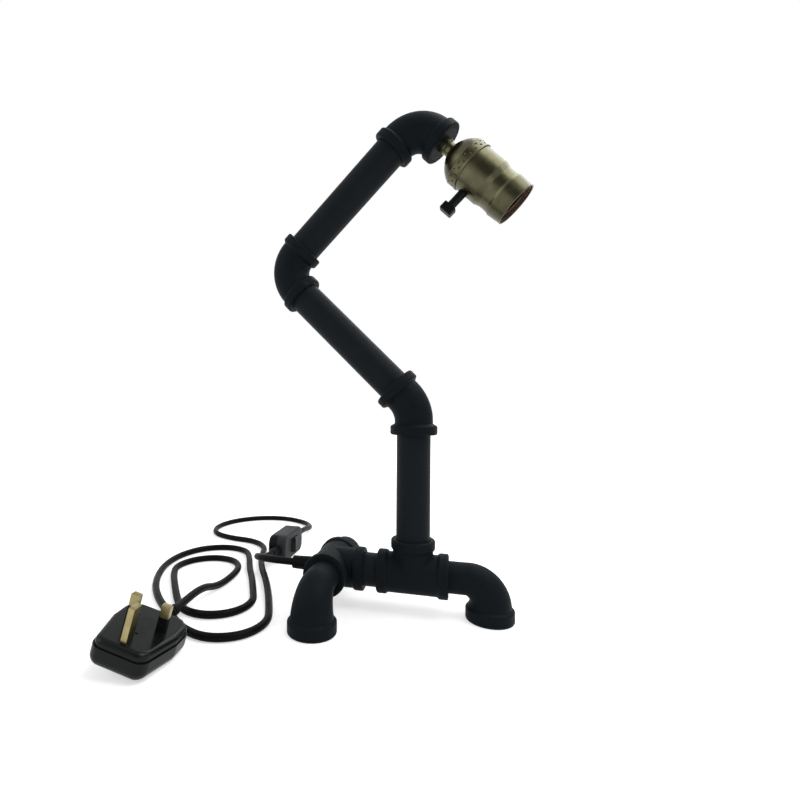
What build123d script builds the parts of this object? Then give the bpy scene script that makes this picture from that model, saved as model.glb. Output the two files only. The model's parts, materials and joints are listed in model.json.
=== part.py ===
from build123d import *

import os
from math import cos, radians, sin, sqrt, tan

os.makedirs("parts", exist_ok=True)

# Industrial pipe table lamp, in millimetres. +Z is up and the base stands on Z = 0.
# The column, the arm and the lamp holder lie in the XZ plane. The origin is under the
# middle of the lamp's own box, without its cord.

# ---------------------------------------------------------------- driving dimensions
# Pipe and its threaded joints
pipe_d = 26.9
pipe_wall = 2.65
thread_depth = 13.0       # how far a pipe goes into a fitting
thread_gap = 0.05         # radial gap between a pipe and its fitting
port_depth = 14.0
passage_d = 21.0
branch_step = 0.25        # a branch's passage is this much slimmer in radius

column_pipe_length = 110.0
middle_pipe_length = 134.0
upper_pipe_length = 128.4
base_nipple_length = 37.0

# Cast fittings: centre to face, body and band
tee_face = 28.0
tee_body_d = 32.0
elbow_face = 30.0
elbow_bend = 22.0
elbow_body_d = 30.5
elbow_45_face = 23.0
elbow_45_bend = 30.0
band_d = 35.0
band_45_d = 37.4
band_width = 7.0
band_taper = 2.2
band_round = 1.6
band_sink = 0.4           # how far the foot of a taper reaches into the body

# Street elbows that serve as feet
foot_height = 30.0        # floor to the axis of the base pipes
foot_reach = 31.0         # tee face to the foot's upright axis
foot_bend = 18.0
foot_neck_d = 24.6
foot_body_d = 32.0
foot_band_d = 36.5
foot_band_width = 9.0
foot_passage_d = 17.0

arm_lean = 45.0           # lean of the lower arm from the column, in degrees

# Flexible cord
cord_d = 6.2
cord_gap = 0.05
flex_bend = 24.0          # bend of the flex inside a square elbow
flex_head_bend = 12.5     # its bend just behind the lamp holder's threaded tube
flex_45_bend = 40.0

# Cord outlet in the leg tee
gland_root_d = 12.0
gland_tip_d = 10.6
gland_length = 19.5
gland_stem_d = 9.6
gland_flange_d = 12.0
gland_flange = 2.0
gland_seat = 1.2

# Lamp holder, measured along its axis from the port face of the top elbow
neck_length = 8.8
neck_d = 12.8
tube_d = 10.0             # threaded tube that carries the holder
tube_bore = 7.0
tube_tail = 4.0           # tube inside the elbow, behind the bushing
locknut_flats = 14.0
locknut_thickness = 3.4
cap_height = 21.9
cap_d = 38.0
cap_wall = 0.6
cap_hub = 4.2
shell_lap = 4.5           # shell inside the cap
shell_fit = 0.05
shell_wall = 0.6
shell_barrel = 19.0       # cap rim to the shoulder
shell_shoulder = 5.0
shell_waist_d = 33.7
shell_waist = 6.5
shell_bead_d = 35.8
shell_bead = 4.6
shell_skirt = 10.3
shell_mouth_d = 33.8
rim_d = 1.3
liner_wall = 1.0
liner_gap = 0.1
insulator_gap = 0.2
insulator_top = 5.6       # above the cap rim, towards the cap
insulator_length = 26.5
screw_shell_bore = 26.6
screw_shell_wall = 0.5
screw_shell_length = 22.0
contact_width = 6.0
contact_thickness = 0.6
contact_rise = 3.4
contact_well_d = 18.0      # the contact lies sunk in the insulator, clear of the thread
contact_well_depth = 4.4

# Turn knob, along its own axis from the holder's axis
knob_offset = 8.0         # cap rim to the knob's axis
knob_stem_d = 7.2
knob_shaft_d = 5.0
knob_head_at = 30.9
knob_head_width = 11.2
knob_head_depth = 8.4
knob_head_thickness = 6.8
cam_d = 11.0
cam_thickness = 7.0
chamber_d = 14.0
chamber_length = 9.0
knob_hole_gap = 0.4
fit_gap = 0.05            # radial gap of a shaft in its own bearing

# Inline switch, on its edge on the floor, long axis along Y
switch_x = -131.0
switch_y = 107.0
switch_length = 58.0
switch_width = 27.0
switch_thickness = 19.0
switch_wall = 2.0
switch_corner = 9.0
switch_edge = 2.5
relief_length = 14.0
relief_root_d = 10.4
relief_tip_d = 7.8
relief_flange_d = 10.4
relief_flange = 2.0
relief_play = 0.1
rocker_radius = 10.2
rocker_width = 13.6
rocker_pivot_depth = 3.0
rocker_rise_angle = 35.0
rocker_peak = 1.0
rocker_keel = 2.6
rocker_tilt = 10.0
rocker_gap = 0.25
pivot_d = 2.4
lug_thickness = 1.6
switch_screw_d = 3.0
switch_screw_head_d = 5.6
switch_screw_head = 1.8
switch_post_d = 6.4
switch_post_at = 21.0
block_length = 7.0        # brass contact blocks inside the switch
block_height = 7.4

# Mains plug with three flat pins, on its back
plug_x = -144.0
plug_y = -125.0
plug_tilt = 15.5
plug_spin = 5.5
plug_half_width = 24.5
plug_earth_half_width = 18.0
plug_front = 31.5
plug_back = 23.5
plug_shoulder_front = 1.0
plug_shoulder_back = 15.0
plug_back_half_width = 17.0
plug_corner = 8.0
plug_thickness = 18.2
plug_base_thickness = 5.2
plug_lip = 0.9            # the cover stands proud of the base all round
plug_wall = 2.2
plug_edge = 7.0
plug_face_edge = 3.4
pin_pitch = 22.2
earth_pin_length = 22.7
earth_pin_width = 4.0
earth_pin_depth = 8.0
line_pin_length = 17.7
line_pin_width = 6.35
line_pin_depth = 4.0
pin_root = 10.0
pin_end_round = 1.0
sleeve_length = 9.0
sleeve_wall = 0.6
carrier_width = 10.0
carrier_length = 22.0
carrier_slot = 1.6         # from the carrier's end to its screwdriver slot
carrier_thickness = 3.0
fuse_d = 6.3
fuse_length = 25.4
fuse_cap = 5.4
fuse_at_v = 11.0
plug_relief_length = 22.0
plug_relief_root_d = 10.6
plug_relief_tip_d = 8.4
plug_relief_ribs = 5
plug_lead = 38.0           # the straight run of cord behind the plug
plug_relief_depth = 9.8  # from the pin face to the flex's axis

# ---------------------------------------------------------------- derived places
X_AXIS = Vector(1, 0, 0)
Y_AXIS = Vector(0, 1, 0)
Z_AXIS = Vector(0, 0, 1)
lean = radians(arm_lean)
lower_dir = Vector(-sin(lean), 0, cos(lean))
upper_dir = Vector(cos(lean), 0, sin(lean))
holder_dir = lower_dir * -1
knob_dir = upper_dir * -1

port_bore = pipe_d + 2 * thread_gap
column_rise = tee_face + column_pipe_length - 2 * thread_depth + elbow_45_face
lower_reach = elbow_45_face + middle_pipe_length - 2 * thread_depth + elbow_face
upper_reach = elbow_face + upper_pipe_length - 2 * thread_depth + elbow_face
tee_spacing = 2 * tee_face + base_nipple_length - 2 * thread_depth

neck_at = elbow_face                       # along the holder's axis, from the top elbow
cap_at = neck_at + neck_length
rim_at = cap_at + cap_height               # the cap's open rim
shoulder_at = rim_at + shell_barrel
waist_at = shoulder_at + shell_shoulder
bead_at = waist_at + shell_waist
skirt_at = bead_at + shell_bead
mouth_at = skirt_at + shell_skirt
knob_at = rim_at + knob_offset

# The lamp's box reaches from the middle elbow's back to the holder's mouth
elbow_back = lower_dir.X * lower_reach + elbow_bend * (sqrt(2) - 1) - elbow_body_d / 2
mouth_front = (lower_dir.X * lower_reach + upper_dir.X * upper_reach
               + holder_dir.X * mouth_at + upper_dir.X * (shell_mouth_d / 2 + rim_d / 4))
column_x = -(elbow_back + mouth_front) / 2

column_tee_at = Vector(column_x, 0, foot_height)
leg_tee_at = column_tee_at - X_AXIS * tee_spacing
elbow_45_at = column_tee_at + Z_AXIS * column_rise
middle_elbow_at = elbow_45_at + lower_dir * lower_reach
top_elbow_at = middle_elbow_at + upper_dir * upper_reach

column_swivel_at = elbow_45_at - Z_AXIS * elbow_45_face
middle_swivel_at = middle_elbow_at - lower_dir * elbow_face
top_swivel_at = top_elbow_at - upper_dir * elbow_face
gland_tip_at = leg_tee_at - X_AXIS * (tee_body_d / 2 - gland_seat + gland_length)

holder_axis = Axis(top_elbow_at, holder_dir)
holder_profile = Plane(origin=top_elbow_at, x_dir=Y_AXIS, z_dir=Y_AXIS.cross(holder_dir))
knob_centre = top_elbow_at + holder_dir * knob_at
knob_plane = Plane(origin=knob_centre, x_dir=Y_AXIS, z_dir=knob_dir)


def save(part, name):
    """Label a finished piece and write it."""
    part.label = name
    export_step(part, "parts/" + name + ".step")


def across(direction):
    """A unit vector square to an axis that runs along Y or lies in the XZ plane."""
    return Z_AXIS if abs(direction.Y) > 0.5 else Y_AXIS


def holder_point(along, out=0.0, side=0.0):
    """A point by its distance along the holder, towards the knob and along Y."""
    return top_elbow_at + holder_dir * along + knob_dir * out + Y_AXIS * side


# ---------------------------------------------------------------- cast fittings
def add_band(face, outward, diameter, width, body_d):
    """The rounded band round a port, tapering back to the body."""
    radial = across(outward)
    foot_of_taper = -width - band_taper
    with BuildSketch(Plane(origin=face, x_dir=radial, z_dir=radial.cross(outward))) as band:
        with BuildLine():
            outline = FilletPolyline(
                (0, 0),
                (diameter / 2, 0),
                (diameter / 2, -width),
                (body_d / 2 - band_sink, foot_of_taper),
                radius=band_round,
            )
            Polyline(outline @ 1, (0, foot_of_taper), outline @ 0)
        make_face()
    revolve(band.sketch, axis=Axis(face, outward))


def cut_port(face, outward):
    """The threaded socket of a port."""
    with BuildSketch(Plane(origin=face, x_dir=across(outward), z_dir=outward * -1)) as mouth:
        Circle(port_bore / 2)
    extrude(mouth.sketch, amount=port_depth, mode=Mode.SUBTRACT)


def make_elbow(centre, port_a, port_b, face, bend, ring_d):
    """A banded elbow with ports a and b, each given by its outward direction."""
    with BuildLine() as core:
        FilletPolyline(centre + port_a * (face - band_width / 2), centre,
                       centre + port_b * (face - band_width / 2), radius=bend)
    with BuildLine() as way:
        FilletPolyline(centre + port_a * face, centre, centre + port_b * face, radius=bend)
    with BuildPart() as elbow:
        with BuildSketch(Plane(origin=core.line @ 0, x_dir=Y_AXIS, z_dir=port_a * -1)) as body:
            Circle(elbow_body_d / 2)
        sweep(body.sketch, path=core.wires()[0])
        add_band(centre + port_a * face, port_a, ring_d, band_width, elbow_body_d)
        add_band(centre + port_b * face, port_b, ring_d, band_width, elbow_body_d)
        with BuildSketch(Plane(origin=way.line @ 0, x_dir=Y_AXIS, z_dir=port_a * -1)) as passage:
            Circle(passage_d / 2)
        sweep(passage.sketch, path=way.wires()[0], mode=Mode.SUBTRACT)
        cut_port(centre + port_a * face, port_a)
        cut_port(centre + port_b * face, port_b)
    return elbow.part


def make_tee(centre, run, branch):
    """A banded tee with its run along one axis and its branch square to it."""
    run_plane = Plane(origin=centre, x_dir=across(run), z_dir=run)
    branch_plane = Plane(origin=centre, x_dir=across(branch), z_dir=branch)
    body_reach = tee_face - band_width / 2
    with BuildPart() as tee:
        with BuildSketch(run_plane) as run_body:
            Circle(tee_body_d / 2)
        extrude(run_body.sketch, amount=body_reach, both=True)
        with BuildSketch(branch_plane) as branch_body:
            Circle(tee_body_d / 2)
        extrude(branch_body.sketch, amount=body_reach)
        for outward in (run, run * -1, branch):
            add_band(centre + outward * tee_face, outward, band_d, band_width, tee_body_d)
        with BuildSketch(run_plane) as run_way:
            Circle(passage_d / 2)
        extrude(run_way.sketch, amount=tee_face, both=True, mode=Mode.SUBTRACT)
        with BuildSketch(branch_plane) as branch_way:
            Circle(passage_d / 2 - branch_step)
        extrude(branch_way.sketch, amount=tee_face, mode=Mode.SUBTRACT)
        for outward in (run, run * -1, branch):
            cut_port(centre + outward * tee_face, outward)
    return tee.part


def make_foot(face, outward):
    """A street elbow: its male end is in a tee's port and its open end is on the floor."""
    male_end = face - outward * thread_depth
    corner = face + outward * foot_reach
    ground = Vector(corner.X, corner.Y, 0)
    bend_start = corner - outward * foot_bend
    bend_end = corner - Z_AXIS * foot_bend
    bend_mid = corner - (outward + Z_AXIS) * (foot_bend * (1 - sqrt(0.5)))
    side = outward.cross(Z_AXIS)
    with BuildLine() as bend_line:
        ThreePointArc(bend_start, bend_mid, bend_end)
    with BuildLine() as way:
        FilletPolyline(male_end, corner, ground, radius=foot_bend)
    with BuildPart() as foot:
        with BuildSketch(Plane(origin=male_end, x_dir=side, z_dir=outward)) as thread:
            Circle(pipe_d / 2)
        extrude(thread.sketch, amount=thread_depth)
        with BuildSketch(Plane(origin=male_end, x_dir=side, z_dir=outward)) as neck:
            Circle(foot_neck_d / 2)
        extrude(neck.sketch, amount=thread_depth + foot_reach - foot_bend)
        with BuildSketch(Plane(origin=bend_start, x_dir=side, z_dir=outward)) as slim:
            Circle(foot_neck_d / 2)
        with BuildSketch(Plane(origin=bend_end, x_dir=side, z_dir=Z_AXIS * -1)) as full:
            Circle(foot_body_d / 2)
        sweep([slim.sketch, full.sketch], path=bend_line.wires()[0], multisection=True)
        with BuildSketch(Plane(origin=bend_end, x_dir=side, z_dir=Z_AXIS * -1)) as upright:
            Circle(foot_body_d / 2)
        extrude(upright.sketch, amount=foot_height - foot_bend - foot_band_width / 2)
        add_band(ground, Z_AXIS * -1, foot_band_d, foot_band_width, foot_body_d)
        with BuildSketch(Plane(origin=male_end, x_dir=side, z_dir=outward)) as passage:
            Circle(foot_passage_d / 2)
        sweep(passage.sketch, path=way.wires()[0], mode=Mode.SUBTRACT)
        cut_port(ground, Z_AXIS * -1)
    return foot.part


def make_pipe(start, direction, length):
    """A length of pipe."""
    with BuildPart() as pipe:
        with BuildSketch(Plane(origin=start, x_dir=across(direction), z_dir=direction)) as ring:
            Circle(pipe_d / 2)
            Circle(pipe_d / 2 - pipe_wall, mode=Mode.SUBTRACT)
        extrude(ring.sketch, amount=length)
    return pipe.part


feet = {
    "foot_elbow_right": (column_tee_at + X_AXIS * tee_face, X_AXIS),
    "foot_elbow_front": (leg_tee_at - Y_AXIS * tee_face, Y_AXIS * -1),
    "foot_elbow_rear": (leg_tee_at + Y_AXIS * tee_face, Y_AXIS),
}
for foot_name, (foot_face, foot_outward) in feet.items():
    save(make_foot(foot_face, foot_outward), foot_name)

save(make_tee(column_tee_at, X_AXIS, Z_AXIS), "column_tee")

with BuildPart() as leg_tee:
    add(make_tee(leg_tee_at, Y_AXIS, X_AXIS))
    outlet = leg_tee_at - X_AXIS * (tee_body_d / 2 - gland_seat)
    with BuildSketch(Plane(origin=outlet, x_dir=Y_AXIS, z_dir=X_AXIS * -1)) as seat:
        Circle(gland_root_d / 2 + thread_gap)
    extrude(seat.sketch, amount=gland_length, mode=Mode.SUBTRACT)
    with BuildSketch(Plane(origin=leg_tee_at, x_dir=Y_AXIS, z_dir=X_AXIS * -1)) as outlet_hole:
        Circle(gland_stem_d / 2 + thread_gap)
    extrude(outlet_hole.sketch, amount=tee_body_d, mode=Mode.SUBTRACT)
save(leg_tee.part, "leg_tee")

pipes = {
    "base_nipple": (leg_tee_at + X_AXIS * (tee_face - thread_depth), X_AXIS, base_nipple_length),
    "column_pipe": (column_tee_at + Z_AXIS * (tee_face - thread_depth), Z_AXIS, column_pipe_length),
    "middle_pipe": (
        elbow_45_at + lower_dir * (elbow_45_face - thread_depth), lower_dir, middle_pipe_length),
    "upper_pipe": (
        middle_elbow_at + upper_dir * (elbow_face - thread_depth), upper_dir, upper_pipe_length),
}
for pipe_name, (pipe_start, pipe_dir, pipe_length) in pipes.items():
    save(make_pipe(pipe_start, pipe_dir, pipe_length), pipe_name)

save(make_elbow(elbow_45_at, Z_AXIS * -1, lower_dir, elbow_45_face, elbow_45_bend, band_45_d),
     "arm_elbow")
save(make_elbow(middle_elbow_at, lower_dir * -1, upper_dir, elbow_face, elbow_bend, band_d),
     "middle_elbow")
save(make_elbow(top_elbow_at, upper_dir * -1, holder_dir, elbow_face, elbow_bend, band_d),
     "top_elbow")

# ---------------------------------------------------------------- cord outlet
gland_shoulder = gland_tip_at + X_AXIS * gland_length
with BuildPart() as cord_gland:
    flange_face = -sqrt((passage_d / 2) ** 2 - (gland_flange_d / 2) ** 2) + 0.1
    flange_from = leg_tee_at.X + flange_face - gland_tip_at.X
    with BuildSketch(Plane(origin=gland_tip_at, x_dir=Y_AXIS, z_dir=Y_AXIS.cross(X_AXIS))):
        with BuildLine():
            Polyline(
                (cord_d / 2 + cord_gap, 0),
                (gland_tip_d / 2, 0),
                (gland_root_d / 2, gland_length),
                (gland_stem_d / 2, gland_length),
                (gland_stem_d / 2, flange_from),
                (gland_flange_d / 2, flange_from),
                (gland_flange_d / 2, flange_from + gland_flange),
                (cord_d / 2 + cord_gap, flange_from + gland_flange),
                close=True,
            )
        make_face()
    revolve(axis=Axis(gland_tip_at, X_AXIS))
save(cord_gland.part, "cord_gland")


# ---------------------------------------------------------------- flex inside the pipes
def make_flex(points, bends, diameter=cord_d):
    """A round cable along straight runs joined by tangent arcs."""
    with BuildLine() as route:
        if len(points) == 2:
            Line(points[0], points[1])
        else:
            FilletPolyline(*points, radius=bends)
    start = points[0]
    heading = (points[1] - points[0]).normalized()
    with BuildPart() as flex:
        with BuildSketch(Plane(origin=start, z_dir=heading)) as section:
            Circle(diameter / 2)
        sweep(section.sketch, path=route.wires()[0])
    return flex.part


flex_end = cap_at + cap_hub + 5.0
inner_flex = {
    "flex_base": ((gland_tip_at, column_tee_at, column_swivel_at), flex_bend),
    "flex_middle": ((column_swivel_at, elbow_45_at, middle_swivel_at), flex_45_bend),
    "flex_upper": ((middle_swivel_at, middle_elbow_at, top_swivel_at), flex_bend),
    "flex_head": ((top_swivel_at, top_elbow_at, holder_point(flex_end)), flex_head_bend),
}
for flex_name, (flex_points, flex_radius) in inner_flex.items():
    save(make_flex(flex_points, flex_radius), flex_name)

# ---------------------------------------------------------------- lamp holder
with BuildPart() as holder_bushing:
    with BuildSketch(Plane(origin=holder_point(neck_at - thread_depth), x_dir=Y_AXIS,
                           z_dir=holder_dir)):
        Circle(pipe_d / 2)
        Circle(tube_d / 2 + fit_gap, mode=Mode.SUBTRACT)
    extrude(amount=thread_depth)
save(holder_bushing.part, "holder_bushing")

tube_from = neck_at - thread_depth - tube_tail
with BuildPart() as holder_tube:
    with BuildSketch(Plane(origin=holder_point(tube_from), x_dir=Y_AXIS, z_dir=holder_dir)):
        Circle(tube_d / 2)
        Circle(tube_bore / 2, mode=Mode.SUBTRACT)
    extrude(amount=cap_at + cap_hub - tube_from)
save(holder_tube.part, "holder_tube")

with BuildPart() as holder_locknut:
    with BuildSketch(Plane(origin=holder_point(neck_at - thread_depth), x_dir=Y_AXIS,
                           z_dir=holder_dir * -1)):
        RegularPolygon(locknut_flats / 2, 6, major_radius=False)
        Circle(tube_d / 2 + fit_gap, mode=Mode.SUBTRACT)
    extrude(amount=locknut_thickness)
save(holder_locknut.part, "holder_locknut")

with BuildPart() as neck_ferrule:
    with BuildSketch(holder_profile):
        with BuildLine():
            Polyline(
                (tube_d / 2 + fit_gap, neck_at),
                (neck_d / 2, neck_at),
                (neck_d / 2, neck_at + neck_length * 0.5),
                (neck_d / 2 - 0.8, neck_at + neck_length * 0.6),
                (neck_d / 2 - 0.8, cap_at),
                (tube_d / 2 + fit_gap, cap_at),
                close=True,
            )
        make_face()
    revolve(axis=holder_axis)
save(neck_ferrule.part, "neck_ferrule")


def cap_outline(inset):
    """The cap's side from its hub to its rim, moved inwards by a wall."""
    hub_edge = (neck_d / 2 - inset, cap_at + inset)
    crown = (cap_d / 2 * 0.72 - 0.6 * inset, cap_at + cap_height * 0.235 + 0.8 * inset)
    side = (cap_d / 2 - inset, cap_at + cap_height * 0.62)
    ThreePointArc(hub_edge, crown, side)
    Polyline(side, (cap_d / 2 - inset, rim_at), (0, rim_at), (0, cap_at + inset), hub_edge)


with BuildPart() as socket_cap:
    with BuildSketch(holder_profile):
        with BuildLine():
            cap_outline(0)
        make_face()
    revolve(axis=holder_axis)
    with BuildSketch(holder_profile):
        with BuildLine():
            cap_outline(cap_wall)
        make_face()
    revolve(axis=holder_axis, mode=Mode.SUBTRACT)
    with BuildSketch(Plane(origin=holder_point(cap_at), x_dir=Y_AXIS, z_dir=holder_dir)):
        Circle(neck_d / 2)
    extrude(amount=cap_hub)
    with BuildSketch(Plane(origin=holder_point(cap_at), x_dir=Y_AXIS, z_dir=holder_dir)):
        Circle(tube_d / 2 + fit_gap)
    extrude(amount=cap_hub, mode=Mode.SUBTRACT)
save(socket_cap.part, "socket_cap")

barrel_r = cap_d / 2 - cap_wall - shell_fit
waist_r = shell_waist_d / 2
bead_r = shell_bead_d / 2
mouth_r = shell_mouth_d / 2
shell_path = (
    (barrel_r, rim_at - shell_lap),
    (barrel_r, shoulder_at),
    (waist_r + 0.5, waist_at),
    (waist_r, waist_at + 0.5 * shell_waist),
    (waist_r + 0.5, bead_at),
    (bead_r, bead_at + 0.6 * shell_bead),
    (bead_r - 0.4, skirt_at),
    (mouth_r, mouth_at),
)
with BuildPart() as socket_shell:
    with BuildSketch(holder_profile):
        with BuildLine():
            Polyline(
                *shell_path,
                *[(radius - shell_wall, along) for radius, along in reversed(shell_path)],
                close=True,
            )
        make_face()
    revolve(axis=holder_axis)
    with BuildSketch(holder_profile):
        with Locations((mouth_r - shell_wall / 2, mouth_at - rim_d / 2)):
            Circle(rim_d / 2)
    revolve(axis=holder_axis)
    with BuildSketch(knob_plane):
        Circle(knob_stem_d / 2 + knob_hole_gap)
    extrude(amount=cap_d, mode=Mode.SUBTRACT)
save(socket_shell.part, "socket_shell")

liner_r = waist_r - shell_wall - liner_gap
liner_mouth_r = mouth_r - shell_wall - rim_d / 2 - liner_gap
liner_from = rim_at + 2.0
with BuildPart() as socket_liner:
    with BuildSketch(holder_profile):
        with BuildLine():
            Polyline(
                (liner_r - liner_wall, liner_from),
                (liner_r, liner_from),
                (liner_r, bead_at),
                (liner_mouth_r, mouth_at - rim_d),
                (liner_mouth_r - liner_wall, mouth_at - rim_d),
                (liner_r - liner_wall, bead_at),
                close=True,
            )
        make_face()
    revolve(axis=holder_axis)
    with BuildSketch(knob_plane):
        Circle(knob_stem_d / 2 + knob_hole_gap)
    extrude(amount=cap_d, mode=Mode.SUBTRACT)
save(socket_liner.part, "socket_liner")

insulator_from = rim_at - insulator_top
insulator_to = insulator_from + insulator_length
insulator_r = liner_r - liner_wall - insulator_gap
terminal_offset = 9.0
terminal_d = 3.0
terminal_depth = 4.0
terminal_head_d = 6.0
terminal_head = 2.0
with BuildPart() as socket_body:
    with BuildSketch(Plane(origin=holder_point(insulator_from), x_dir=Y_AXIS, z_dir=holder_dir)):
        Circle(insulator_r)
    extrude(amount=insulator_length)
    with BuildSketch(knob_plane):
        Circle(knob_shaft_d / 2 + fit_gap)
    extrude(amount=cap_d, mode=Mode.SUBTRACT)
    with BuildSketch(knob_plane.offset(-chamber_length / 2)):
        Circle(chamber_d / 2)
    extrude(amount=chamber_length, mode=Mode.SUBTRACT)
    with BuildSketch(Plane(origin=holder_point(insulator_from), x_dir=Y_AXIS, z_dir=holder_dir)):
        with Locations((-terminal_offset, 0), (terminal_offset, 0)):
            Circle(terminal_d / 2 + fit_gap)
    extrude(amount=terminal_depth, mode=Mode.SUBTRACT)
    with BuildSketch(Plane(origin=holder_point(insulator_to), x_dir=Y_AXIS,
                           z_dir=holder_dir * -1)):
        Circle(contact_well_d / 2)
    extrude(amount=contact_well_depth, mode=Mode.SUBTRACT)
save(socket_body.part, "socket_body")

with BuildPart() as terminal_screws:
    with BuildSketch(Plane(origin=holder_point(insulator_from), x_dir=Y_AXIS,
                           z_dir=holder_dir * -1)):
        with Locations((-terminal_offset, 0), (terminal_offset, 0)):
            Circle(terminal_head_d / 2)
    extrude(amount=terminal_head)
    with BuildSketch(Plane(origin=holder_point(insulator_from), x_dir=Y_AXIS, z_dir=holder_dir)):
        with Locations((-terminal_offset, 0), (terminal_offset, 0)):
            Circle(terminal_d / 2)
    extrude(amount=terminal_depth)
save(terminal_screws.part, "terminal_screws")

screw_shell_r = screw_shell_bore / 2
with BuildPart() as screw_shell:
    with BuildSketch(holder_profile):
        with BuildLine():
            Polyline(
                (screw_shell_r - 3.0, insulator_to),
                (screw_shell_r + screw_shell_wall, insulator_to),
                (screw_shell_r + screw_shell_wall, insulator_to + screw_shell_length),
                (screw_shell_r, insulator_to + screw_shell_length),
                (screw_shell_r, insulator_to + screw_shell_wall),
                (screw_shell_r - 3.0, insulator_to + screw_shell_wall),
                close=True,
            )
        make_face()
    revolve(axis=holder_axis)
save(screw_shell.part, "screw_shell")

with BuildPart() as centre_contact:
    with BuildSketch(Plane(origin=holder_point(insulator_to - contact_well_depth,
                                               side=-contact_width / 2),
                           x_dir=knob_dir * -1, z_dir=Y_AXIS)) as tongue:
        with BuildLine():
            Polyline(
                (-7.0, 0),
                (7.0, 0),
                (7.0, contact_thickness),
                (-4.6, contact_thickness),
                (-1.0, contact_rise),
                (3.0, contact_rise),
                (3.0, contact_rise + contact_thickness),
                (-1.4, contact_rise + contact_thickness),
                (-5.4, contact_thickness),
                (-7.0, contact_thickness),
                close=True,
            )
        make_face()
    extrude(amount=contact_width)
save(centre_contact.part, "centre_contact")

core_d = 2.2
core_spread = 1.25
core_drop = insulator_from - terminal_head - core_d / 2
lead_bend = 2.5
with BuildPart() as holder_leads:
    for hand in (-1, 1):
        add(make_flex(
            (holder_point(flex_end, side=hand * core_spread),
             holder_point(core_drop - 0.3, side=hand * core_spread),
             holder_point(core_drop, side=hand * (terminal_offset + 1.5))),
            lead_bend, core_d))
save(holder_leads.part, "holder_leads")

# ---------------------------------------------------------------- turn knob and its cam
shaft_from = -chamber_length / 2
knob_step = insulator_r + 0.3
with BuildPart() as knob_stem:
    with BuildSketch(knob_plane.offset(shaft_from)):
        Circle(knob_shaft_d / 2)
    extrude(amount=knob_step - shaft_from)
    with BuildSketch(knob_plane.offset(knob_step)):
        Circle(knob_stem_d / 2)
    extrude(amount=knob_head_at - knob_step)
save(knob_stem.part, "knob_stem")

with BuildPart() as switch_cam:
    with BuildSketch(knob_plane.offset(-cam_thickness / 2)):
        Circle(cam_d / 2 - 1.4)
        with PolarLocations(0, 4):
            SlotOverall(cam_d, 3.4)
        Circle(knob_shaft_d / 2 + fit_gap, mode=Mode.SUBTRACT)
    extrude(amount=cam_thickness)
save(switch_cam.part, "switch_cam")

with BuildPart() as switch_knob:
    with BuildSketch(knob_plane.offset(knob_head_at)):
        RectangleRounded(knob_head_depth, knob_head_width, 1.6)
    extrude(amount=knob_head_thickness)
    fillet(switch_knob.edges().group_by(Axis(knob_centre, knob_dir))[-1], 1.0)
    fillet(switch_knob.edges().group_by(Axis(knob_centre, knob_dir))[0], 0.8)
save(switch_knob.part, "switch_knob")

# ---------------------------------------------------------------- inline switch
# Two half shells meet in the plane X = switch_x. The rocker is on the +X side.
switch_z = switch_width / 2
switch_centre = Vector(switch_x, switch_y, switch_z)
half_thickness = switch_thickness / 2
switch_inner_r = switch_corner - switch_wall
entry_d = cord_d + 2 * cord_gap
relief_neck_d = relief_root_d - 2.4
rocker_face = switch_x + half_thickness
pivot_at = Vector(rocker_face - rocker_pivot_depth, switch_y, switch_z)
window_length = 2 * (rocker_radius + rocker_gap)
window_width = rocker_width + 2 * rocker_gap
lug_inner = rocker_width / 2 + rocker_gap
screw_places = [(switch_post_at, switch_width / 2 - 6.2), (-switch_post_at, 6.2 - switch_width / 2)]


def make_half_shell(hand):
    """One half of the switch's case, towards +X or -X."""
    split = Plane(origin=switch_centre, x_dir=Y_AXIS * hand, z_dir=X_AXIS * hand)
    with BuildPart() as half:
        with BuildSketch(split):
            RectangleRounded(switch_length, switch_width, switch_corner)
        extrude(amount=half_thickness)
        fillet(half.faces().sort_by(Axis(switch_centre, X_AXIS * hand))[-1].edges(), switch_edge)
        with BuildSketch(split):
            RectangleRounded(switch_length - 2 * switch_wall, switch_width - 2 * switch_wall,
                             switch_inner_r)
        extrude(amount=half_thickness - switch_wall, mode=Mode.SUBTRACT)
        with BuildSketch(split):
            with Locations(*[(hand * along, up) for along, up in screw_places]):
                Circle(switch_post_d / 2)
        extrude(amount=half_thickness - switch_wall / 2)
        with BuildSketch(split):
            with Locations(*[(hand * along, up) for along, up in screw_places]):
                Circle(switch_screw_d / 2 + fit_gap)
        extrude(amount=half_thickness - switch_wall * (1 + hand) / 2, mode=Mode.SUBTRACT)
        with BuildSketch(Plane(origin=switch_centre - Y_AXIS * switch_length, x_dir=X_AXIS,
                               z_dir=Y_AXIS)):
            Circle(relief_neck_d / 2 + fit_gap)
        extrude(amount=2 * switch_length, mode=Mode.SUBTRACT)
    return half.part


with BuildPart() as switch_lower_half:
    add(make_half_shell(-1))
    with BuildSketch(Plane(origin=switch_centre - X_AXIS * half_thickness, x_dir=Y_AXIS,
                           z_dir=X_AXIS)):
        with Locations(*screw_places):
            Circle(switch_screw_head_d / 2 + fit_gap)
    extrude(amount=switch_screw_head, mode=Mode.SUBTRACT)
    with BuildSketch(Plane(origin=switch_centre - X_AXIS * half_thickness, x_dir=Y_AXIS,
                           z_dir=X_AXIS)):
        with Locations(*screw_places):
            Circle(switch_screw_d / 2 + fit_gap)
    extrude(amount=half_thickness, mode=Mode.SUBTRACT)
save(switch_lower_half.part, "switch_lower_half")

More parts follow.
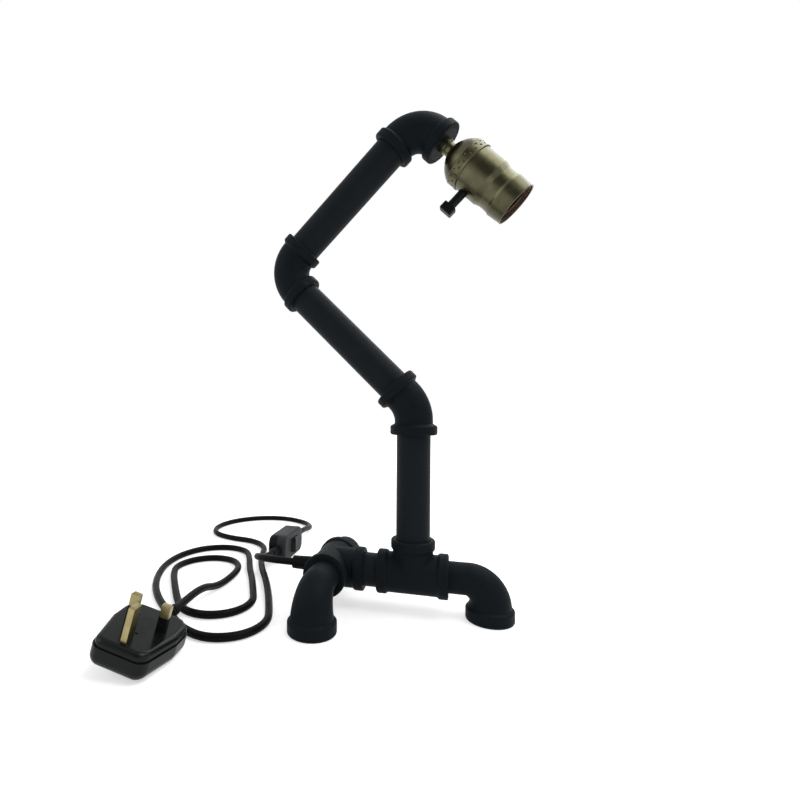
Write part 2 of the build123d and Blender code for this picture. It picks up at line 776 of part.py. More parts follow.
with BuildPart() as switch_upper_half:
    add(make_half_shell(1))
    with BuildSketch(Plane(origin=(rocker_face, switch_y, switch_z), x_dir=Y_AXIS,
                           z_dir=X_AXIS * -1)):
        Rectangle(window_length, window_width)
    extrude(amount=switch_wall, mode=Mode.SUBTRACT)
    for hand in (-1, 1):
        lug_face = switch_z + hand * lug_inner
        with BuildSketch(Plane(origin=(pivot_at.X, switch_y, lug_face), x_dir=Y_AXIS,
                               z_dir=Z_AXIS * hand)):
            with Locations((0, 0)):
                Circle(pivot_d / 2 + 1.8)
            with Locations((0, -hand * (rocker_pivot_depth - switch_wall / 2) / 2)):
                Rectangle(pivot_d + 3.6, rocker_pivot_depth - switch_wall / 2)
        extrude(amount=lug_thickness)
        with BuildSketch(Plane(origin=(pivot_at.X, switch_y, lug_face), x_dir=Y_AXIS,
                               z_dir=Z_AXIS * hand)):
            Circle(pivot_d / 2 + fit_gap)
        extrude(amount=lug_thickness, mode=Mode.SUBTRACT)
save(switch_upper_half.part, "switch_upper_half")

with BuildPart() as switch_screws:
    screw_length = switch_thickness - switch_wall - switch_screw_head
    with BuildSketch(Plane(origin=switch_centre - X_AXIS * half_thickness, x_dir=Y_AXIS,
                           z_dir=X_AXIS)):
        with Locations(*screw_places):
            Circle(switch_screw_head_d / 2)
    extrude(amount=switch_screw_head)
    with BuildSketch(Plane(origin=switch_centre - X_AXIS * (half_thickness - switch_screw_head),
                           x_dir=Y_AXIS, z_dir=X_AXIS)):
        with Locations(*screw_places):
            Circle(switch_screw_d / 2)
    extrude(amount=screw_length)
save(switch_screws.part, "switch_screws")

# The rocker's ends are arcs about its pivot, so that it turns inside its window.
rise = radians(rocker_rise_angle)
rock_plane = Plane(origin=pivot_at - Z_AXIS * (rocker_width / 2), x_dir=Y_AXIS,
                   z_dir=Z_AXIS).rotated((0, 0, rocker_tilt))
with BuildPart() as switch_rocker:
    tip_u = rocker_radius * cos(rise)
    tip_v = rocker_radius * sin(rise)
    low_u = sqrt(rocker_radius ** 2 - rocker_keel ** 2)
    with BuildSketch(rock_plane):
        with BuildLine():
            Polyline((-tip_u, -tip_v), (0, -rocker_pivot_depth - rocker_peak), (tip_u, -tip_v))
            RadiusArc((tip_u, -tip_v), (low_u, rocker_keel), -rocker_radius)
            Line((low_u, rocker_keel), (-low_u, rocker_keel))
            RadiusArc((-low_u, rocker_keel), (-tip_u, -tip_v), -rocker_radius)
        make_face()
    extrude(amount=rocker_width)
    for hand in (-1, 1):
        with BuildSketch(Plane(origin=pivot_at, x_dir=Y_AXIS, z_dir=Z_AXIS * hand)):
            Circle(pivot_d / 2)
        extrude(amount=lug_inner + lug_thickness)
save(switch_rocker.part, "switch_rocker")

with BuildPart() as switch_reliefs:
    for hand in (-1, 1):
        end = switch_centre + Y_AXIS * (hand * switch_length / 2)
        heading = Y_AXIS * hand
        with BuildSketch(Plane(origin=end, x_dir=X_AXIS, z_dir=X_AXIS.cross(heading))):
            with BuildLine():
                Polyline(
                    (entry_d / 2, -switch_wall - relief_flange),
                    (relief_flange_d / 2, -switch_wall - relief_flange),
                    (relief_flange_d / 2, -switch_wall - relief_play),
                    (relief_neck_d / 2, -switch_wall - relief_play),
                    (relief_neck_d / 2, 0),
                    (relief_root_d / 2, 0),
                    (relief_tip_d / 2, relief_length),
                    (entry_d / 2, relief_length),
                    close=True,
                )
            make_face()
        revolve(axis=Axis(end, heading))
save(switch_reliefs.part, "switch_reliefs")

# The flex goes through each relief to a brass contact block
contact_at = switch_length / 2 - switch_wall - relief_flange - 5.0 - block_length / 2
block_thickness = half_thickness - switch_wall + 2.0
with BuildPart() as switch_contacts:
    block_x = switch_x + 2.0 - block_thickness / 2
    with Locations((block_x, switch_y - contact_at, switch_z),
                   (block_x, switch_y + contact_at, switch_z)):
        Box(block_thickness, block_length, block_height)
save(switch_contacts.part, "switch_contacts")

# ---------------------------------------------------------------- mains plug
tilt = radians(plug_tilt)
plug_z = ((plug_half_width - plug_edge) * sin(tilt)
          + (plug_thickness - plug_edge) * cos(tilt) + plug_edge)
spin = radians(plug_spin)
plug_face = Plane(origin=(plug_x, plug_y, plug_z),
                  x_dir=(-cos(tilt) * cos(spin), -cos(tilt) * sin(spin), sin(tilt)),
                  z_dir=(sin(tilt) * cos(spin), sin(tilt) * sin(spin), cos(tilt)))
plug_back_dir = plug_face.y_dir * -1
# Local X is across the line and neutral pins, local Y is towards the earth pin.


def plug_outline(inset=0.0):
    """The plug's outline, moved inwards by an inset."""
    half = (
        (plug_back_half_width - inset, -plug_back + inset),
        (plug_half_width - inset, -plug_shoulder_back + 0.5 * inset),
        (plug_half_width - inset, plug_shoulder_front - 0.3 * inset),
        (plug_earth_half_width - inset, plug_front - inset),
    )
    with BuildLine() as outline:
        FilletPolyline(
            *half,
            *[(-along, up) for along, up in reversed(half)],
            close=True,
            radius=plug_corner - 0.5 * inset,
        )
    make_face(outline.edges())


pins = {
    "earth_pin": ((0, pin_pitch), earth_pin_width, earth_pin_depth, earth_pin_length),
    "live_pin": ((pin_pitch / 2, 0), line_pin_width, line_pin_depth, line_pin_length),
    "neutral_pin": ((-pin_pitch / 2, 0), line_pin_width, line_pin_depth, line_pin_length),
}
carrier_y = 3.0

with BuildPart() as plug_base:
    with BuildSketch(plug_face.offset(-plug_base_thickness)):
        plug_outline(plug_lip)
    extrude(amount=plug_base_thickness)
    fillet(plug_base.faces().sort_by(Axis(plug_face.origin, plug_face.z_dir))[-1].edges(),
           plug_face_edge)
    with BuildSketch(plug_face):
        for (pin_u, pin_v), pin_w, pin_h, pin_l in pins.values():
            with Locations((pin_u, pin_v)):
                Rectangle(pin_w, pin_h)
    extrude(amount=-plug_base_thickness, mode=Mode.SUBTRACT)
    with BuildSketch(plug_face):
        with Locations((0, carrier_y)):
            RectangleRounded(carrier_width + 2 * cord_gap, carrier_length + 2 * cord_gap, 1.0)
    extrude(amount=-carrier_thickness, mode=Mode.SUBTRACT)
save(plug_base.part, "plug_base")

relief_plane = Plane(origin=plug_face.from_local_coords((0, -plug_back, -plug_relief_depth)),
                     x_dir=plug_face.x_dir, z_dir=plug_back_dir)
with BuildPart() as plug_cover:
    with BuildSketch(plug_face.offset(-plug_thickness)):
        plug_outline()
    extrude(amount=plug_thickness - plug_base_thickness)
    fillet(plug_cover.faces().sort_by(Axis(plug_face.origin, plug_face.z_dir))[0].edges(),
           plug_edge)
    with BuildSketch(plug_face.offset(-plug_thickness + plug_wall + 1.0)):
        plug_outline(plug_wall + 1.5)
    extrude(amount=plug_thickness - plug_base_thickness - plug_wall - 1.0, mode=Mode.SUBTRACT)
    with BuildSketch(relief_plane.offset(-plug_wall * 3)):
        Circle(plug_relief_root_d / 2 - 1.2 + fit_gap)
    extrude(amount=plug_wall * 4, mode=Mode.SUBTRACT)
save(plug_cover.part, "plug_cover")

with BuildPart() as pin_sleeves:
    for pin_name in ("live_pin", "neutral_pin"):
        (pin_u, pin_v), pin_w, pin_h, pin_l = pins[pin_name]
        with BuildSketch(plug_face):
            with Locations((pin_u, pin_v)):
                Rectangle(pin_w, pin_h)
                Rectangle(pin_w - 2 * sleeve_wall, pin_h - 2 * sleeve_wall, mode=Mode.SUBTRACT)
        extrude(amount=sleeve_length)
save(pin_sleeves.part, "pin_sleeves")

for pin_name, ((pin_u, pin_v), pin_w, pin_h, pin_l) in pins.items():
    with BuildPart() as pin:
        with BuildSketch(plug_face.offset(-plug_base_thickness)):
            with Locations((pin_u, pin_v)):
                Rectangle(pin_w, pin_h)
        extrude(amount=plug_base_thickness + pin_l)
        chamfer(pin.faces().sort_by(Axis(plug_face.origin, plug_face.z_dir))[-1].edges(),
                pin_end_round)
        with BuildSketch(plug_face.offset(-plug_base_thickness)):
            with Locations((pin_u, pin_v)):
                Rectangle(pin_w + 2.0, pin_h + 2.0)
        extrude(amount=-(pin_root - plug_base_thickness))
        if pin_name != "earth_pin":
            with BuildSketch(plug_face):
                with Locations((pin_u, pin_v)):
                    Rectangle(pin_w, pin_h)
                    Rectangle(pin_w - 2 * sleeve_wall, pin_h - 2 * sleeve_wall,
                              mode=Mode.SUBTRACT)
            extrude(amount=sleeve_length, mode=Mode.SUBTRACT)
    save(pin.part, pin_name)

with BuildPart() as fuse_carrier:
    with BuildSketch(plug_face.offset(-carrier_thickness)):
        with Locations((0, carrier_y)):
            RectangleRounded(carrier_width, carrier_length, 1.0)
    extrude(amount=carrier_thickness)
    with BuildSketch(plug_face):
        with Locations((0, carrier_y + carrier_length / 2 - carrier_slot)):
            Rectangle(4.0, 1.2)
    extrude(amount=-1.0, mode=Mode.SUBTRACT)
save(fuse_carrier.part, "fuse_carrier")

# The cartridge fuse stands behind the base, with a metal cap on each end
fuse_at = plug_face.from_local_coords(
    (-fuse_length / 2, fuse_at_v, -plug_base_thickness - fuse_d / 2 - 0.3))
fuse_plane = Plane(origin=fuse_at, x_dir=plug_face.y_dir, z_dir=plug_face.x_dir)
with BuildPart() as fuse_body:
    with BuildSketch(fuse_plane.offset(fuse_cap)):
        Circle(fuse_d / 2 - 0.3)
    extrude(amount=fuse_length - 2 * fuse_cap)
save(fuse_body.part, "fuse_body")
with BuildPart() as fuse_caps:
    with BuildSketch(fuse_plane):
        Circle(fuse_d / 2)
    extrude(amount=fuse_cap)
    with BuildSketch(fuse_plane.offset(fuse_length - fuse_cap)):
        Circle(fuse_d / 2)
    extrude(amount=fuse_cap)
save(fuse_caps.part, "fuse_caps")

with BuildPart() as plug_relief:
    with BuildSketch(Plane(origin=relief_plane.origin, x_dir=relief_plane.x_dir,
                           z_dir=relief_plane.x_dir.cross(plug_back_dir))):
        with BuildLine():
            ribs = []
            for rib in range(plug_relief_ribs):
                pitch = plug_relief_length / plug_relief_ribs
                taper = (plug_relief_root_d - plug_relief_tip_d) / 2 * rib / (plug_relief_ribs - 1)
                ribs.append((plug_relief_root_d / 2 - taper, rib * pitch))
                ribs.append((plug_relief_root_d / 2 - taper, (rib + 0.62) * pitch))
                if rib < plug_relief_ribs - 1:
                    ribs.append((plug_relief_root_d / 2 - taper - 0.9, (rib + 0.68) * pitch))
                    ribs.append((plug_relief_root_d / 2 - taper - 0.9, (rib + 0.94) * pitch))
            Polyline(
                (entry_d / 2, -plug_wall * 2),
                (plug_relief_root_d / 2 - 1.2, -plug_wall * 2),
                (plug_relief_root_d / 2 - 1.2, 0),
                *ribs,
                (plug_relief_tip_d / 2, plug_relief_length),
                (entry_d / 2, plug_relief_length),
                close=True,
            )
        make_face()
    revolve(axis=Axis(relief_plane.origin, plug_back_dir))
save(plug_relief.part, "plug_relief")

# ---------------------------------------------------------------- free cord
cord_rest = cord_d / 2 + 0.1
lamp_end = gland_tip_at
block_face = contact_at + block_length / 2
switch_front = switch_centre - Y_AXIS * block_face
switch_rear = switch_centre + Y_AXIS * block_face
plug_end = relief_plane.origin - plug_back_dir * (3.6 * plug_wall)

lamp_cord_points = [
    lamp_end,
    Vector(-110, 0, foot_height),
    Vector(-131, 21, 25),
    Vector(switch_x, 49, switch_z),
    switch_front,
]
plug_cord_points = [
    switch_rear,
    Vector(switch_x, 167, switch_z),
    Vector(-132, 207, 6),
    Vector(-150, 240, cord_rest),
    Vector(-184, 256, cord_rest),
    Vector(-220, 248, cord_rest),
    Vector(-247, 222, cord_rest),
    Vector(-256, 186, cord_rest),
    Vector(-243, 154, cord_rest),
    Vector(-213, 140, cord_rest),
    Vector(-182, 137, cord_rest),
    Vector(-159, 117, cord_rest),
    Vector(-151, 85, cord_rest),
    Vector(-137, 52, cord_rest),
    Vector(-120, 22, cord_rest),
    Vector(-106, -7, cord_rest),
    Vector(-94, -35, cord_rest),
    Vector(-85, -60, cord_rest),
    Vector(-93, -84, cord_rest),
    Vector(-115.5, -95.5, cord_rest),
    Vector(-140, -88, cord_rest),
    Vector(-163, -68, cord_rest),
    Vector(-187, -47, cord_rest),
    Vector(-208, -22, cord_rest),
    Vector(-224, 7, cord_rest),
    Vector(-234.5, 37, cord_rest),
    Vector(-235, 69, cord_rest),
    Vector(-222, 95, cord_rest),
    Vector(-197, 106, cord_rest),
    Vector(-173, 98, cord_rest),
    Vector(-160, 75, cord_rest),
    Vector(-148, 48, cord_rest),
    Vector(-134, 22, cord_rest),
    Vector(-121, -5, cord_rest),
    Vector(-110, -29.5, cord_rest),
    Vector(-116.5, -52, cord_rest),
    Vector(-136, -63.5, cord_rest),
    Vector(-159, -58.5, cord_rest),
    Vector(-175.5, -38.5, cord_rest),
    Vector(-193, -14, cord_rest),
    Vector(-208, 8, cord_rest),
    Vector(-220, 30, cord_rest),
    Vector(-214.5, 53.5, cord_rest),
    Vector(-196, 67.5, cord_rest),
    Vector(-173, 65, cord_rest),
    Vector(-158, 47, cord_rest),
    Vector(-154, 21, cord_rest),
    Vector(-155, -6, cord_rest),
    Vector(-154.5, -34, 12.8),
    plug_end + plug_back_dir * plug_lead,
    plug_end,
]


def bend_radii(points):
    """At each corner, the largest arc that leaves some straight on both runs."""
    radii = []
    for before, here, after in zip(points, points[1:], points[2:]):
        run_in = here - before
        run_out = after - here
        turn = radians(run_in.get_angle(run_out))
        radii.append(0.45 * min(run_in.length, run_out.length) / tan(turn / 2))
    return radii


for cord_name, cord_points in (("cord_lamp", lamp_cord_points), ("cord_plug", plug_cord_points)):
    cord_radii = bend_radii(cord_points)
    cord = make_flex(cord_points, cord_radii)
    section = 3.14159265 * (cord_d / 2) ** 2
    print(cord_name, "length", round(cord.volume / section), "tightest", round(min(cord_radii), 1),
          "radii", [round(radius) for radius in cord_radii])
    save(cord, cord_name)
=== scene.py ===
"""A table lamp of black threaded pipe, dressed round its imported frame. Metres; +Z is up."""

import json
import math

import bmesh
import bpy
from mathutils import Matrix, Vector

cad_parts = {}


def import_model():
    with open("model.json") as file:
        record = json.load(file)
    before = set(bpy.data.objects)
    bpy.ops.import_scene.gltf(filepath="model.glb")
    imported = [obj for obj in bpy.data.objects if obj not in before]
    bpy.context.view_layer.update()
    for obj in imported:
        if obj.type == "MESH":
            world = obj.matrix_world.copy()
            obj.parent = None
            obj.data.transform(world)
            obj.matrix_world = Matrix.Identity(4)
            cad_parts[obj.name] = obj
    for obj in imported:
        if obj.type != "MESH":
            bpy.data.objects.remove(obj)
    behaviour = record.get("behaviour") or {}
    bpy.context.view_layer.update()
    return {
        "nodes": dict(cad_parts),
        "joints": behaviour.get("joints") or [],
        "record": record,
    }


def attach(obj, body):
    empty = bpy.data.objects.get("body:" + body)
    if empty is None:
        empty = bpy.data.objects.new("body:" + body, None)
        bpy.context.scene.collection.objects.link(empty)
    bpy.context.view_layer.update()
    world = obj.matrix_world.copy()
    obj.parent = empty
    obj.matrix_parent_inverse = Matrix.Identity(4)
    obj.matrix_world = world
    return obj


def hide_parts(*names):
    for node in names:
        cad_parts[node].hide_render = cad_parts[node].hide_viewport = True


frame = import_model()
nodes = frame["nodes"]
joints = {joint["name"]: joint for joint in frame["joints"]}
MM = 0.001
Y = Vector((0, 1, 0))

# ------------------------------------------------------------------ materials
SHEEN = 0.035                      # the black finishes reflect less than bare plastic would
HOLDER_LEAN = math.radians(45)     # turns object coordinates along the holder's axis
SPECK_TINT = (0.012, 0.014, 0.016)
WORN_TINT = (0.020, 0.024, 0.028)
METAL_GRAIN = 500
WHITE = (1, 1, 1, 1)


class Graph:
    """One material's nodes round a Principled shader, with object coordinates in metres."""

    def __init__(self, name):
        self.mat = bpy.data.materials.new(name)
        self.mat.use_nodes = True
        self.tree = self.mat.node_tree
        self.shader = self.tree.nodes["Principled BSDF"]
        self.place = self.add("ShaderNodeTexCoord").outputs["Object"]

    def add(self, kind, **settings):
        node = self.tree.nodes.new(kind)
        for key, value in settings.items():
            setattr(node, key, value)
        return node

    def join(self, source, target):
        self.tree.links.new(source, target)

    def set(self, **values):
        for key, value in values.items():
            self.shader.inputs[key.replace("_", " ")].default_value = value

    def stretch(self, rotation, scale):
        """Coordinates turned and stretched, for a grain that has a direction."""
        turn = self.add("ShaderNodeMapping")
        turn.inputs["Rotation"].default_value = rotation
        self.join(self.place, turn.inputs["Vector"])
        pull = self.add("ShaderNodeMapping")
        pull.inputs["Scale"].default_value = scale
        self.join(turn.outputs[0], pull.inputs["Vector"])
        return pull.outputs[0]

    def noise(self, scale, detail=3.0, rough=0.5, place=None, warp=0.0):
        node = self.add("ShaderNodeTexNoise")
        node.inputs["Scale"].default_value = scale
        node.inputs["Detail"].default_value = detail
        node.inputs["Roughness"].default_value = rough
        node.inputs["Distortion"].default_value = warp
        self.join(place or self.place, node.inputs["Vector"])
        return node.outputs["Fac"]

    def pointiness(self):
        """Above a half on outer edges and below it in recesses."""
        return self.add("ShaderNodeNewGeometry").outputs["Pointiness"]

    def ramp(self, source, stops):
        """A colour ramp; a stop is a place and an RGB colour."""
        node = self.add("ShaderNodeValToRGB")
        band = node.color_ramp
        while len(band.elements) < len(stops):
            band.elements.new(0.5)
        for element, (place, colour) in zip(band.elements, stops):
            element.position = place
            element.color = (*colour, 1)
        self.join(source, node.inputs["Fac"])
        return node.outputs["Color"]

    def mix(self, factor, under, over):
        """Mixes two colours, each an RGB colour or a socket, by a socket's factor."""
        node = self.add("ShaderNodeMix", data_type="RGBA")
        self.join(factor, node.inputs[0])
        for value, socket in ((under, node.inputs[6]), (over, node.inputs[7])):
            if hasattr(value, "is_linked"):
                self.join(value, socket)
            else:
                socket.default_value = (*value, 1)
        return node.outputs[2]

    def scaled(self, source, low, high, from_low=0.0, from_high=1.0):
        node = self.add("ShaderNodeMapRange")
        for index, value in enumerate((from_low, from_high, low, high), start=1):
            node.inputs[index].default_value = value
        self.join(source, node.inputs[0])
        return node.outputs[0]

    def bump(self, layers):
        """Stacked bumps, each a height, its depth in metres and its strength."""
        last = None
        for height, depth, strength in layers:
            node = self.add("ShaderNodeBump")
            node.inputs["Distance"].default_value = depth
            node.inputs["Strength"].default_value = strength
            self.join(height, node.inputs["Height"])
            if last is not None:
                self.join(last, node.inputs["Normal"])
            last = node.outputs["Normal"]
        self.join(last, self.shader.inputs["Normal"])

    def colour(self, source):
        self.join(source, self.shader.inputs["Base Color"])

    def roughness(self, source):
        self.join(source, self.shader.inputs["Roughness"])


def powder_coat(name, dark, light, rough, grain, lumps, swell=None):
    """Black powder coat on drawn pipe, or on a casting whose surface shows through it."""
    g = Graph(name)
    tint = g.ramp(g.noise(28, 4, 0.6), [(0.3, dark), (0.7, light)])
    speck = g.noise(2600, 2, 0.5)
    tint = g.mix(g.scaled(speck, 0.0, 0.30, 0.62, 0.72), tint, SPECK_TINT)
    g.colour(g.mix(g.scaled(g.pointiness(), 0.0, 0.5, 0.52, 0.6), tint, WORN_TINT))
    g.roughness(g.scaled(g.noise(160, 3), *rough))
    g.set(Specular_IOR_Level=SHEEN)
    layers = [(g.noise(1500, 3, 0.6), grain, 0.6), (g.noise(420, 3, 0.55), lumps, 0.5)]
    if swell:
        layers.append((g.noise(90, 4, 0.6), swell, 0.35))
    g.bump(layers)
    return g.mat


def aged_brass(name, dark, middle, light):
    """Antique brass, brushed round the holder's axis, darker in its recesses."""
    g = Graph(name)
    lines = g.noise(1.0, 4, 0.7, g.stretch((0, HOLDER_LEAN, 0), (60, 60, 9000)))
    cloud = g.noise(60, 5, 0.65, warp=0.6)
    tint = g.ramp(cloud, [(0.25, dark), (0.5, middle), (0.8, light)])
    brushed = tuple(0.72 * c for c in middle)
    tint = g.mix(g.scaled(lines, 0.0, 0.45, 0.4, 0.65), tint, brushed)
    tarnish = tuple(0.2 * c for c in dark)
    g.colour(g.mix(g.scaled(g.pointiness(), 0.85, 0.0, 0.40, 0.50), tint, tarnish))
    g.roughness(g.scaled(g.noise(240, 4), 0.24, 0.36))
    g.set(Metallic=1.0)
    g.bump([(lines, 0.00002, 0.35), (g.noise(300, 3), 0.00006, 0.2)])
    return g.mat


def plain_metal(name, dark, light, rough):
    g = Graph(name)
    g.colour(g.ramp(g.noise(METAL_GRAIN * 0.2, 4, 0.6), [(0.3, dark), (0.7, light)]))
    g.roughness(g.scaled(g.noise(METAL_GRAIN, 3), rough - 0.06, rough + 0.1))
    g.set(Metallic=1.0)
    g.bump([(g.noise(METAL_GRAIN * 2, 3), 0.00003, 0.3)])
    return g.mat


def moulded(name, dark, light, rough, grain=0.00002, scale=900, coat=0.0):
    """Moulded plastic or rubber with a fine grain and soft handling marks."""
    g = Graph(name)
    g.colour(g.ramp(g.noise(45, 4, 0.6), [(0.3, dark), (0.7, light)]))
    smear = g.noise(70, 4, 0.65, warp=0.8)
    g.roughness(g.scaled(smear, rough - 0.05, rough + 0.12, 0.35, 0.7))
    g.set(Coat_Weight=coat, Coat_Roughness=0.12, Specular_IOR_Level=SHEEN)
    g.bump([(g.noise(scale, 3), grain, 0.5), (g.noise(120, 2), 0.0001, 0.12)])
    return g.mat


def fibre(name, dark, light):
    """Insulating paper tube with a wrapped grain."""
    g = Graph(name)
    wrap = g.noise(1.0, 3, 0.6, g.stretch((0, HOLDER_LEAN, 0), (120, 120, 2600)))
    g.colour(g.ramp(wrap, [(0.3, dark), (0.7, light)]))
    g.roughness(g.scaled(g.noise(300), 0.62, 0.8))
    g.bump([(wrap, 0.00008, 0.5)])
    return g.mat


# Each slot's finish and its values. The fuse carrier is as dark as the plug, as in the photo.
FINISHES = {
    "black_pipe": (powder_coat, dict(
        dark=(0.0015, 0.0026, 0.0031), light=(0.0028, 0.0042, 0.0050),
        rough=(0.38, 0.50), grain=0.00002, lumps=0.00005)),
    "black_fitting": (powder_coat, dict(
        dark=(0.0062, 0.0088, 0.0106), light=(0.0080, 0.0110, 0.0132),
        rough=(0.44, 0.60), grain=0.00005, lumps=0.00022, swell=0.0006)),
    "aged_brass": (aged_brass, dict(
        dark=(0.048, 0.045, 0.024), middle=(0.080, 0.076, 0.043), light=(0.112, 0.107, 0.066))),
    "bright_brass": (plain_metal, dict(
        dark=(0.25, 0.21, 0.095), light=(0.36, 0.31, 0.165), rough=0.28)),
    "liner_brown": (fibre, dict(dark=(0.040, 0.016, 0.010), light=(0.098, 0.040, 0.026))),
    "insulator_dark": (moulded, dict(
        dark=(0.02, 0.016, 0.014), light=(0.035, 0.03, 0.026), rough=0.5)),
    # The screw shell's dark brown is painted shade: the metal is tinted dark so that the inside
    # of the holder's mouth looks dim and brown.
    "screw_shell_metal": (plain_metal, dict(
        dark=(0.040, 0.026, 0.019), light=(0.070, 0.046, 0.034), rough=0.4)),
    "knob_black": (moulded, dict(
        dark=(0.0035, 0.0042, 0.0045), light=(0.007, 0.0085, 0.009), rough=0.3, coat=0.1)),
    "flex_black": (moulded, dict(
        dark=(0.0042, 0.0046, 0.0048), light=(0.0078, 0.0083, 0.0086), rough=0.33,
        grain=0.00003, scale=1600)),
    "core_blue": (moulded, dict(dark=(0.02, 0.06, 0.25), light=(0.03, 0.08, 0.32), rough=0.4)),
    "gland_black": (moulded, dict(
        dark=(0.0042, 0.0046, 0.005), light=(0.0075, 0.008, 0.0085), rough=0.42)),
    "switch_black": (moulded, dict(
        dark=(0.004, 0.0044, 0.0048), light=(0.0075, 0.008, 0.0085), rough=0.3, coat=0.1)),
    # The grey of the switch's lighter half is a painted highlight: the switch is dark plastic,
    # and this grey stands in for light caught on its rounded edge.
    "switch_grey": (moulded, dict(
        dark=(0.030, 0.033, 0.035), light=(0.046, 0.050, 0.052), rough=0.4)),
    "rocker_black": (moulded, dict(
        dark=(0.0035, 0.004, 0.0042), light=(0.0065, 0.007, 0.0075), rough=0.25, coat=0.15)),
    "plug_black": (moulded, dict(
        dark=(0.0035, 0.0052, 0.0045), light=(0.0062, 0.0086, 0.0076), rough=0.22,
        grain=0.000012, scale=700, coat=0.2)),
    "sleeve_black": (moulded, dict(
        dark=(0.005, 0.005, 0.0055), light=(0.009, 0.009, 0.0095), rough=0.45)),
    "screw_steel": (plain_metal, dict(
        dark=(0.40, 0.40, 0.41), light=(0.52, 0.52, 0.53), rough=0.3)),
    "steel_dark": (plain_metal, dict(
        dark=(0.16, 0.16, 0.165), light=(0.26, 0.26, 0.265), rough=0.42)),
    "fuse_white": (moulded, dict(
        dark=(0.70, 0.67, 0.60), light=(0.78, 0.75, 0.68), rough=0.3)),
    "carrier_red": (moulded, dict(
        dark=(0.0045, 0.0060, 0.0055), light=(0.0075, 0.0098, 0.0090), rough=0.3, coat=0.15)),
}
LOOKS = {name: finish(name, **values) for name, (finish, values) in FINISHES.items()}
for entry in frame["record"]["subparts"]:
    piece_mesh = nodes[entry["node"]].data
    piece_mesh.materials.clear()
    piece_mesh.materials.append(LOOKS[entry["material_slot"]])


# ------------------------------------------------------------------ mesh building
def mesh_object(name, verts, faces, material):
    mesh = bpy.data.meshes.new(name)
    mesh.from_pydata([tuple(v) for v in verts], [], faces)
    mesh.validate()
    mesh.materials.append(material)
    piece = bpy.data.objects.new(name, mesh)
    bpy.context.scene.collection.objects.link(piece)
    return piece


def panel(name, half_width, half_height, material):
    """A flat rectangle round the origin of its own XY plane."""
    corners = [(-half_width, -half_height, 0), (half_width, -half_height, 0),
               (half_width, half_height, 0), (-half_width, half_height, 0)]
    return mesh_object(name, corners, [(0, 1, 2, 3)], material)


def smooth(piece, sharp):
    """Smooth shading, with the edges above an angle in degrees kept sharp."""
    for polygon in piece.data.polygons:
        polygon.use_smooth = True
    piece.data.set_sharp_from_angle(angle=math.radians(sharp))


def basis(axis):
    """Columns Y, axis x Y and axis, for an axis square to Y."""
    axis = axis.normalized()
    return Matrix((Y, axis.cross(Y), axis)).transposed()


def aim(piece, place, target, forward):
    """Places a piece with one of its own axes towards a target."""
    piece.location = place
    piece.rotation_mode = "QUATERNION"
    piece.rotation_quaternion = (Vector(target) - Vector(place)).to_track_quat(forward, "Y")


def bow(start, via, end, steps=14):
    """Points of the circle's arc through three points, both ends included."""
    ax, ay = start
    bx, by = via
    cx, cy = end
    d = 2 * (ax * (by - cy) + bx * (cy - ay) + cx * (ay - by))
    a2, b2, c2 = ax * ax + ay * ay, bx * bx + by * by, cx * cx + cy * cy
    ux = (a2 * (by - cy) + b2 * (cy - ay) + c2 * (ay - by)) / d
    uy = (a2 * (cx - bx) + b2 * (ax - cx) + c2 * (bx - ax)) / d
    radius = math.hypot(ax - ux, ay - uy)
    first, last = math.atan2(ay - uy, ax - ux), math.atan2(cy - uy, cx - ux)
    return [(ux + radius * math.cos(first + (last - first) * k / steps),
             uy + radius * math.sin(first + (last - first) * k / steps))
            for k in range(steps + 1)]


def rounded(points, steps=5):
    """A closed profile of (radius, along, corner size) points with its corners softened."""
    widest = math.radians(89)      # half of a corner's angle; a straight run has 90 degrees
    share = 0.48                   # of each side, the most that a corner may use
    out = []
    for i, (radius, along, size) in enumerate(points):
        here = Vector((radius, along))
        to_last = Vector(points[i - 1][:2]) - here
        to_next = Vector(points[(i + 1) % len(points)][:2]) - here
        if size <= 0 or to_last.angle(to_next) / 2 > widest:
            out.append(tuple(here))
            continue
        reach = min(size / math.tan(to_last.angle(to_next) / 2),
                    share * to_last.length, share * to_next.length)
        a, b = here + to_last.normalized() * reach, here + to_next.normalized() * reach
        for k in range(steps + 1):
            t = k / steps
            out.append(tuple((1 - t) ** 2 * a + 2 * t * (1 - t) * here + t * t * b))
    return out


# ------------------------------------------------------------------ lamp holder
# Profiles are (radius, distance along the holder's axis from the cap's rim), in millimetres.
KNOB_OFFSET = 8.0                  # cap rim to the knob's axis
KNOB_HOLE_R, HOLE_REACH = 4.0, 26.0
HOLDER_DIR = Vector((1, 0, -1)).normalized()
KNOB_DIR = Vector(joints["knob_turn"]["axis"])
KNOB_AT = Vector(joints["knob_turn"]["pos_m"])
RIM_AT = KNOB_AT - HOLDER_DIR * (KNOB_OFFSET * MM)

CAP_R, CAP_WALL, CAP_TOP, HUB = 19.0, 0.6, -21.9, 4.2
NECK_R, TUBE_R = 6.4, 5.05
BAND_FROM, BAND_STEP, BAND_STEPS = -7.6, 0.25, 24
DIMPLES = 20                       # in each row
DIMPLE_ROWS = ((-6.2, 0.0), (-3.2, 0.5))     # place along the axis, and share of a pitch
DIMPLE_HALF_LENGTH, DIMPLE_HALF_WIDTH, DIMPLE_DEPTH = 1.25, 0.6, 0.65

SHELL_WALL = 0.6
MOUTH_AT, ROLL_AT_R, ROLL_R = 44.75, 16.6, 0.65

THREAD_R, THREAD_WALL, THREAD_PITCH, THREAD_DEPTH = 13.3, 0.45, 3.6, 0.95
THREAD_FROM, THREAD_TO, THREAD_STEPS = 20.9, 42.9, 72
THREAD_FLOOR, THREAD_LEDGE = 0.5, 3.0        # the screw shell's inner end and its width
RUN_OUT = 1.5


